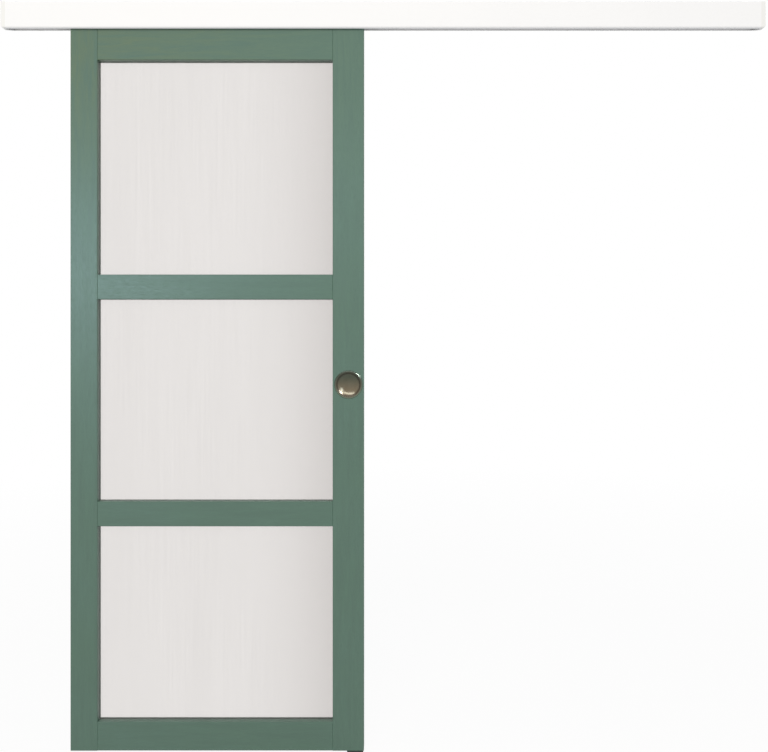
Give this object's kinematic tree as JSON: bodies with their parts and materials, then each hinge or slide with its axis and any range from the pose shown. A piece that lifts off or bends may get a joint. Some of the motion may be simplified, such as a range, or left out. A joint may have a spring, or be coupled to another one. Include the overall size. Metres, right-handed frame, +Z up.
{
  "type": "glazed sliding door",
  "caption": "Top-hung sliding door leaf with stacked frosted panes, a round flush pull and a wall-fixed track under a white cover.",
  "frame": {"origin": "on the wall plane, at the middle of the track's row of wall fixing holes", "axes": "+X along the track, the way the leaf slides open; +Y into the wall, so the room is at -Y; +Z up"},
  "size_m": [2.144, 0.068, 2.1128],
  "materials": {
    "leaf_paint": "satin grey-green paint over hardwood",
    "beech": "bare turned hardwood",
    "frosted_glass": "satin etched, nearly opaque",
    "gasket_rubber": "grey, matt",
    "black_rubber": "matt",
    "satin_steel": "spun, bronzed and satin polished",
    "zinc_steel": "bright zinc plated",
    "cast_zinc": "die cast, matt",
    "nylon": "moulded nylon",
    "bearing_steel": "ground",
    "track_aluminium": "white powder coat",
    "white_cover": "white powder coat, satin",
    "white_plastic": "moulded, satin",
    "guide_plastic": "moulded nylon, dark grey"
  },
  "bodies": {
    "frame": {"end_cap_left": "white_plastic", "end_cap_right": "white_plastic", "floor_guide": "guide_plastic", "stop_block_left": "cast_zinc", "stop_block_right": "cast_zinc", "stop_buffer_left": "black_rubber", "stop_buffer_right": "black_rubber", "stop_clamp_left": "zinc_steel", "stop_clamp_right": "zinc_steel", "stop_screws": "zinc_steel", "track": "track_aluminium", "track_cover": "white_cover"},
    "leaf": {"bead_pins": "zinc_steel", "bottom_rail": "leaf_paint", "frame_dowels": "beech", "gaskets_bottom": "gasket_rubber", "gaskets_middle": "gasket_rubber", "gaskets_top": "gasket_rubber", "glass_bottom": "frosted_glass", "glass_middle": "frosted_glass", "glass_top": "frosted_glass", "glazing_beads_bottom": "leaf_paint", "glazing_beads_middle": "leaf_paint", "glazing_beads_top": "leaf_paint", "hanger_bolts": "zinc_steel", "hanger_plate_left": "zinc_steel", "hanger_plate_right": "zinc_steel", "lock_nuts": "zinc_steel", "lower_mid_rail": "leaf_paint", "plate_screws": "zinc_steel", "pull_cup_back": "satin_steel", "pull_cup_front": "satin_steel", "setting_blocks": "black_rubber", "stile_left": "leaf_paint", "stile_right": "leaf_paint", "top_rail": "leaf_paint", "trolley_axles": "zinc_steel", "trolley_left": "cast_zinc", "trolley_right": "cast_zinc", "upper_mid_rail": "leaf_paint"},
    "wheel_left_1_back": {"wheel_left_1_back": "nylon", "bearing_left_1_back": "bearing_steel"},
    "wheel_left_1_front": {"wheel_left_1_front": "nylon", "bearing_left_1_front": "bearing_steel"},
    "wheel_left_2_back": {"wheel_left_2_back": "nylon", "bearing_left_2_back": "bearing_steel"},
    "wheel_left_2_front": {"wheel_left_2_front": "nylon", "bearing_left_2_front": "bearing_steel"},
    "wheel_right_1_back": {"wheel_right_1_back": "nylon", "bearing_right_1_back": "bearing_steel"},
    "wheel_right_1_front": {"wheel_right_1_front": "nylon", "bearing_right_1_front": "bearing_steel"},
    "wheel_right_2_back": {"wheel_right_2_back": "nylon", "bearing_right_2_back": "bearing_steel"},
    "wheel_right_2_front": {"wheel_right_2_front": "nylon", "bearing_right_2_front": "bearing_steel"}
  },
  "joints": [
    {"name": "leaf_slide", "type": "slide", "parent": "frame", "child": "leaf", "axis": [1, 0, 0], "range_m": [0, 0.78]},
    {"name": "wheel_left_1_back_spin", "type": "hinge", "parent": "leaf", "child": "wheel_left_1_back", "pos_m": [-0.752, -0.038, 0.0263], "axis": [0, 1, 0], "continuous": true},
    {"name": "wheel_left_1_front_spin", "type": "hinge", "parent": "leaf", "child": "wheel_left_1_front", "pos_m": [-0.752, -0.038, 0.0263], "axis": [0, 1, 0], "continuous": true},
    {"name": "wheel_left_2_back_spin", "type": "hinge", "parent": "leaf", "child": "wheel_left_2_back", "pos_m": [-0.708, -0.038, 0.0263], "axis": [0, 1, 0], "continuous": true},
    {"name": "wheel_left_2_front_spin", "type": "hinge", "parent": "leaf", "child": "wheel_left_2_front", "pos_m": [-0.708, -0.038, 0.0263], "axis": [0, 1, 0], "continuous": true},
    {"name": "wheel_right_1_back_spin", "type": "hinge", "parent": "leaf", "child": "wheel_right_1_back", "pos_m": [-0.226, -0.038, 0.0263], "axis": [0, 1, 0], "continuous": true},
    {"name": "wheel_right_1_front_spin", "type": "hinge", "parent": "leaf", "child": "wheel_right_1_front", "pos_m": [-0.226, -0.038, 0.0263], "axis": [0, 1, 0], "continuous": true},
    {"name": "wheel_right_2_back_spin", "type": "hinge", "parent": "leaf", "child": "wheel_right_2_back", "pos_m": [-0.182, -0.038, 0.0263], "axis": [0, 1, 0], "continuous": true},
    {"name": "wheel_right_2_front_spin", "type": "hinge", "parent": "leaf", "child": "wheel_right_2_front", "pos_m": [-0.182, -0.038, 0.0263], "axis": [0, 1, 0], "continuous": true}
  ],
  "couplings": [
    {"joint": "wheel_left_1_back_spin", "follows": "leaf_slide", "rad_per_m": 90.909},
    {"joint": "wheel_left_1_front_spin", "follows": "leaf_slide", "rad_per_m": 90.909},
    {"joint": "wheel_left_2_back_spin", "follows": "leaf_slide", "rad_per_m": 90.909},
    {"joint": "wheel_left_2_front_spin", "follows": "leaf_slide", "rad_per_m": 90.909},
    {"joint": "wheel_right_1_back_spin", "follows": "leaf_slide", "rad_per_m": 90.909},
    {"joint": "wheel_right_1_front_spin", "follows": "leaf_slide", "rad_per_m": 90.909},
    {"joint": "wheel_right_2_back_spin", "follows": "leaf_slide", "rad_per_m": 90.909},
    {"joint": "wheel_right_2_front_spin", "follows": "leaf_slide", "rad_per_m": 90.909}
  ]
}
